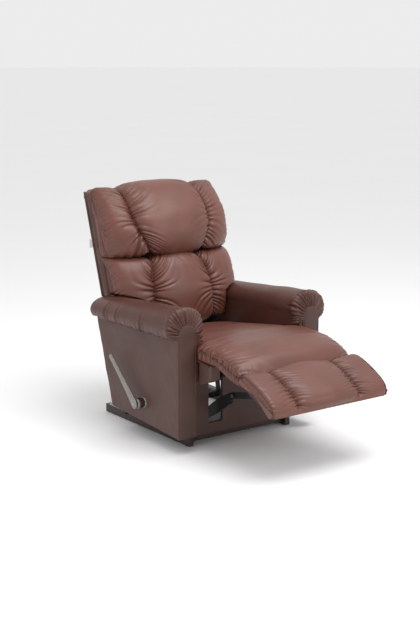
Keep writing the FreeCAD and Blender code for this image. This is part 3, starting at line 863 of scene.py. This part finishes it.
def build_seat():
    """The seat cushion and the fold of padding in front of it."""
    stations = np.concatenate([[-0.0245], -0.024 + 0.03 * np.linspace(0, 1, 8) ** 2,
                               np.linspace(0.012, 0.440, 70), np.linspace(0.444, 0.456, 9),
                               np.linspace(0.461, 0.545, 20),
                               0.546 + 0.012 * np.sqrt(np.linspace(0, 1, 8))[1:]])

    def high(f):
        return float(np.interp(f, [-0.03, 0.10, 0.25, 0.38, 0.46, 0.56],
                               [0.440, 0.450, 0.468, 0.483, 0.489, 0.482]))

    def seat_shape(x, f, z):
        border = seat_half(f) - np.abs(x)
        height = gathers(border - 0.004, f, 0.030, 0.030, 0.0040, 101, 0.3)
        height = height * np.clip((f - 0.38) / 0.05, 0, 1)
        crown = 0.012 * np.cos(np.clip(x / 0.30, -1, 1) * math.pi / 2) ** 0.7
        height = height + crown * np.clip((f - 0.05) / 0.30, 0, 1)
        return height + 0.0016 * waves(x, f, 0.20, 103)
    lying_pad("seat_pad", stations, seat_half, lambda f: 0.396, high, 0.012, seat_shape,
              ["seat_cushion"], (0.024, 0.014))

    chaise_rear = 0.4535
    chaise_stations = np.concatenate([chaise_rear + 0.024 * np.linspace(0, 1, 10) ** 2,
                                      np.linspace(0.4815, 0.706, 76),
                                      0.709 + 0.040 * np.sin(np.linspace(0, math.pi / 2, 14))[1:]])

    def chaise_high(f):
        return float(np.interp(f, [0.449, 0.50, 0.56, 0.60, 0.65, 0.70, 0.75],
                               [0.4895, 0.492, 0.492, 0.489, 0.476, 0.456, 0.426]))

    def chaise_low(f):
        return float(np.interp(f, [0.449, 0.50, 0.58, 0.66, 0.72, 0.75],
                               [0.428, 0.418, 0.392, 0.358, 0.345, 0.352]))

    def chaise_shape(x, f, z):
        border = 0.299 - np.abs(x)
        height = gathers(border - 0.002, f, 0.0205, 0.040, 0.0085, 111, 0.35)
        height = height + gathers(0.744 - f, x, 0.030, 0.024, 0.0030, 112, 0.2)
        crown = 0.010 * np.cos(np.clip(x / 0.30, -1, 1) * math.pi / 2) ** 0.7
        return height + crown * np.clip((f - 0.449) / 0.05, 0.2, 1) + 0.0016 * waves(x, f, 0.2, 113)
    chaise = lying_pad("chaise_cover", chaise_stations, lambda f: EAR_HALF + 0 * f, chaise_low,
                       chaise_high, 0.024, chaise_shape, ["chaise_pad"], (0.006, 0.044))
    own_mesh(chaise)
    build_seat_apron()
    build_seat_welts()


def build_seat_apron():
    """Covered band under the seat's ears and front."""
    outline = [(0.444, 0.300), (0.500, 0.318), (0.527, 0.338), (0.530, 0.400), (0.444, 0.402)]
    for side, label in SIDES:
        rows = []
        loop = dense([(0, f, z) for f, z in outline], 0.004, True)[:, 1:]
        normal = loop_normals(loop)
        places, insets = round_stations(0.238, 0.290, 0.008, 0.006)
        for x, inset in zip(places, insets):
            rows.append(side_to_world(side * x, loop - normal * inset))
        grid = closed_ends(np.array(rows), 0.001, side * X_AXIS)
        grid_object("seat_apron_" + label, grid, VINYL, "seat",
                    ["seat_ear_blocks"])


def build_seat_welts():
    """Piping along the lower edge of the seat's ears and the leg fold."""
    for side, label in SIDES:
        path = [(side * 0.250, DATUM - 0.4475, 0.408), (side * 0.296, DATUM - 0.4475, 0.408),
                (side * 0.3015, DATUM - 0.462, 0.406), (side * 0.3015, DATUM - 0.530, 0.398)]
        welt("seat_welt_" + label, dense(path, 0.004), 0.0036, PIPING, "seat")


BOARD_F, BOARD_Z, BOARD_TILT = 0.8375, 0.3195, math.radians(-26.4)


def board_to_world(x, loop):
    """Points of a loop in the leg rest board's own plane, at one x."""
    c, s = math.cos(BOARD_TILT), math.sin(BOARD_TILT)
    f = BOARD_F + loop[:, 0] * c - loop[:, 1] * s
    z = BOARD_Z + loop[:, 0] * s + loop[:, 1] * c
    return np.stack([x + 0 * f, DATUM - f, z], axis=1)


def build_footrest():
    """The padded cover of the leg rest, with its two seams and piping."""
    outline = [(-0.112, 0.0105), (-0.119, 0.020), (-0.119, 0.036), (-0.104, 0.054),
               (-0.060, 0.064), (0.000, 0.067), (0.060, 0.064), (0.100, 0.054), (0.121, 0.036),
               (0.126, 0.020), (0.118, 0.0105), (0.000, 0.0100)]
    loop, run = smooth_loop(outline, 230)
    normal = loop_normals(loop)
    places, insets = round_stations(-0.309, 0.309, 0.022, 0.0032, 8)
    grid = np.array([board_to_world(x, loop - normal * inset)
                     for x, inset in zip(places, insets)])
    out = surface_normals(grid)
    x = grid[:, :, 0]
    s = run[None, :] + 0 * x
    top = np.clip((loop[:, 1] - 0.016) / 0.02, 0, 1)[None, :] + 0 * x
    height = 0
    for seam, seed in ((-0.163, 121), (0.163, 127)):
        across = x - seam
        height = height + pinch(across, 0.025, 0.008, 0.036)
        height = height + gathers(across, s, 0.0185, 0.038, 0.0072, seed, 0.35)
    end = 0.309 - np.abs(x)
    height = height + gathers(end, s, 0.022, 0.018, 0.0030, 131, 0.2)
    height = height + 0.0010 * waves(x, s, 0.12, 133)
    height = height + 0.010 * np.cos(np.clip(np.abs(x) / 0.163, 0, 1) * math.pi / 2)
    grid = grid + out * (height * top)[:, :, None]
    grid = closed_ends(grid, 0.004, X_AXIS)
    grid_object("footrest_cover", grid, HIDE, "footrest", ["footrest_pad"])
    for side, label in SIDES:
        rim = loop - normal * 0.0065
        path = board_to_world(side * 0.3035, rim)[::2]
        welt("footrest_welt_" + label, path, 0.0032, PIPING, "footrest", True)


# ---------------------------------------------------------------- handle

HUB_F, HUB_Z = 0.160, 0.174
LEVER_TILT = math.radians(133.9)


def build_handle():
    """Paddle lever that leans out towards its tip, on a round hub."""
    direction = np.array([0, -math.cos(LEVER_TILT), math.sin(LEVER_TILT)])
    square = np.array([0, math.sin(LEVER_TILT), math.cos(LEVER_TILT)])
    centre = np.array([0, DATUM - HUB_F, HUB_Z])
    shares = np.concatenate([np.linspace(-0.085, -0.055, 5), np.linspace(-0.04, 0.955, 44),
                             np.linspace(0.965, 1.0, 8)])
    turn = np.linspace(0, 2 * math.pi, 40, endpoint=False)
    c, s = np.cos(turn), np.sin(turn)
    bx, bs = np.sign(c) * np.abs(c) ** 0.6, np.sign(s) * np.abs(s) ** 0.7
    rows = []
    for share in shares:
        half = np.interp(share, [-0.085, 0.0, 0.12, 0.5, 0.8, 1.0],
                         [0.018, 0.0215, 0.019, 0.0145, 0.0130, 0.0120])
        end = min((share + 0.0855) / 0.06, (1.0005 - share) / 0.035, 1.0)
        rounding = math.sqrt(max(1 - (1 - end) ** 2, 0.0))
        thick = np.interp(share, [-0.085, 0.1, 0.5, 1.0], [0.0056, 0.0056, 0.0042, 0.0036])
        lean = np.interp(share, [-0.085, 0.0, 0.3, 0.7, 1.0],
                         [0.4310, 0.4310, 0.4325, 0.4370, 0.4405])
        along = centre + direction * share * 0.262
        ring = (along[None, :] - X_AXIS * lean + np.outer(bx * thick * (0.3 + 0.7 * rounding),
                                                          X_AXIS)
                + np.outer(bs * half * rounding, square))
        rows.append(ring)
    grid_object("lever", np.array(rows), NICKEL, "handle", ["handle_lever"])
    profile = [(0.4255, 0.0), (0.4255, 0.0150), (0.4235, 0.0215), (0.4180, 0.0240),
               (0.3960, 0.0240), (0.3925, 0.0225), (0.3905, 0.0190), (0.3905, 0.0)]
    lathe("hub", profile, NICKEL, "handle", ["handle_hub"])
    profile = [(0.3900, 0.0085), (0.3900, 0.0200), (0.3885, 0.0250), (0.3855, 0.0270),
               (0.3830, 0.0270), (0.3830, 0.0085)]
    lathe("escutcheon", profile, NICKEL, "arm_unit", ["handle_escutcheon"])
    profile = [(0.4392, 0.0), (0.4390, 0.0035), (0.4380, 0.0058), (0.4360, 0.0062), (0.4360, 0.0)]
    lathe("hub_screw", profile, ZINC, "handle", ["handle_screw"])


def lathe(name, profile, material, body, replaces):
    """Turned piece about the handle's axis, from (distance out, radius) pairs."""
    turn = np.linspace(0, 2 * math.pi, 48, endpoint=False)
    rows = [np.stack([np.full(48, -x), DATUM - HUB_F + max(r, 1e-5) * np.cos(turn),
                      HUB_Z + max(r, 1e-5) * np.sin(turn)], axis=1) for x, r in profile]
    return grid_object(name, np.array(rows), material, body, replaces)


# ---------------------------------------------------------------- stage, light and camera

VIEW_TURN, VIEW_RISE = math.radians(-36.2), math.radians(12.0)
VIEW_DISTANCE = 5.758
VIEW_ASIDE, VIEW_UP = 0.076, 0.478
LENS = 70.18


def build_stage():
    """Wide pale floor, with nothing that stands in the way of any view."""
    radius, count = 150.0, 96
    angles = np.linspace(0, 2 * math.pi, count, endpoint=False)
    verts = [(radius * math.cos(a), radius * math.sin(a), 0.0) for a in angles]
    mesh = bpy.data.meshes.new("floor")
    mesh.from_pydata(verts, [], [tuple(range(count))])
    m = Nodes("floor")
    tone = m.ramp(m.noise(0.6, 2.0), [(0.2, (0.95, 0.95, 0.95)), (0.8, (0.97, 0.97, 0.97))])
    mesh.materials.append(m.finish(Base_Color=tone, Roughness=0.9, Specular_IOR_Level=0.1))
    floor = bpy.data.objects.new("floor", mesh)
    bpy.context.scene.collection.objects.link(floor)


def add_light(name, place, target, size, power):
    """Adds a rectangular area light."""
    data = bpy.data.lights.new(name, "AREA")
    data.shape = "RECTANGLE"
    data.size, data.size_y = size
    data.energy = power
    light = bpy.data.objects.new(name, data)
    bpy.context.scene.collection.objects.link(light)
    aim(light, place, target)


def aim(obj, place, target):
    """Puts a light or camera at a place, looking at a target."""
    obj.location = place
    look = Vector(target) - Vector(place)
    obj.rotation_euler = look.to_track_quat("-Z", "Y").to_euler()


def build_light():
    """Even white surroundings and three soft lights."""
    world = bpy.data.worlds.new("studio")
    bpy.context.scene.world = world
    world.use_nodes = True
    world.node_tree.nodes["Background"].inputs["Color"].default_value = (1, 1, 1, 1)
    world.node_tree.nodes["Background"].inputs["Strength"].default_value = 0.84
    add_light("overhead", (0.3, -1.0, 3.6), (0, 0, 0.5), (2.8, 2.2), 80)
    add_light("front", (1.6, -3.8, 2.4), (0, 0, 0.6), (1.6, 1.6), 22)
    add_light("side", (-3.8, 0.2, 1.8), (0, 0, 0.4), (2.2, 2.2), 8)
    bpy.context.scene.view_settings.view_transform = "Standard"


def build_camera():
    """Camera in front of the chair, on the handle's side."""
    data = bpy.data.cameras.new("view")
    data.sensor_width = 36.0
    data.lens = LENS
    camera = bpy.data.objects.new("view", data)
    bpy.context.scene.collection.objects.link(camera)
    back = np.array([math.sin(VIEW_TURN) * math.cos(VIEW_RISE),
                     -math.cos(VIEW_TURN) * math.cos(VIEW_RISE), math.sin(VIEW_RISE)])
    right = np.array([math.cos(VIEW_TURN), math.sin(VIEW_TURN), 0])
    up = np.cross(back, right)
    place = back * VIEW_DISTANCE + right * VIEW_ASIDE + up * VIEW_UP + Y_AXIS * DATUM
    aim(camera, place, place - back)
    bpy.context.scene.camera = camera


finish_cad_nodes()
build_back()
build_arms()
build_seat()
build_footrest()
build_handle()
build_stage()
build_light()
build_camera()
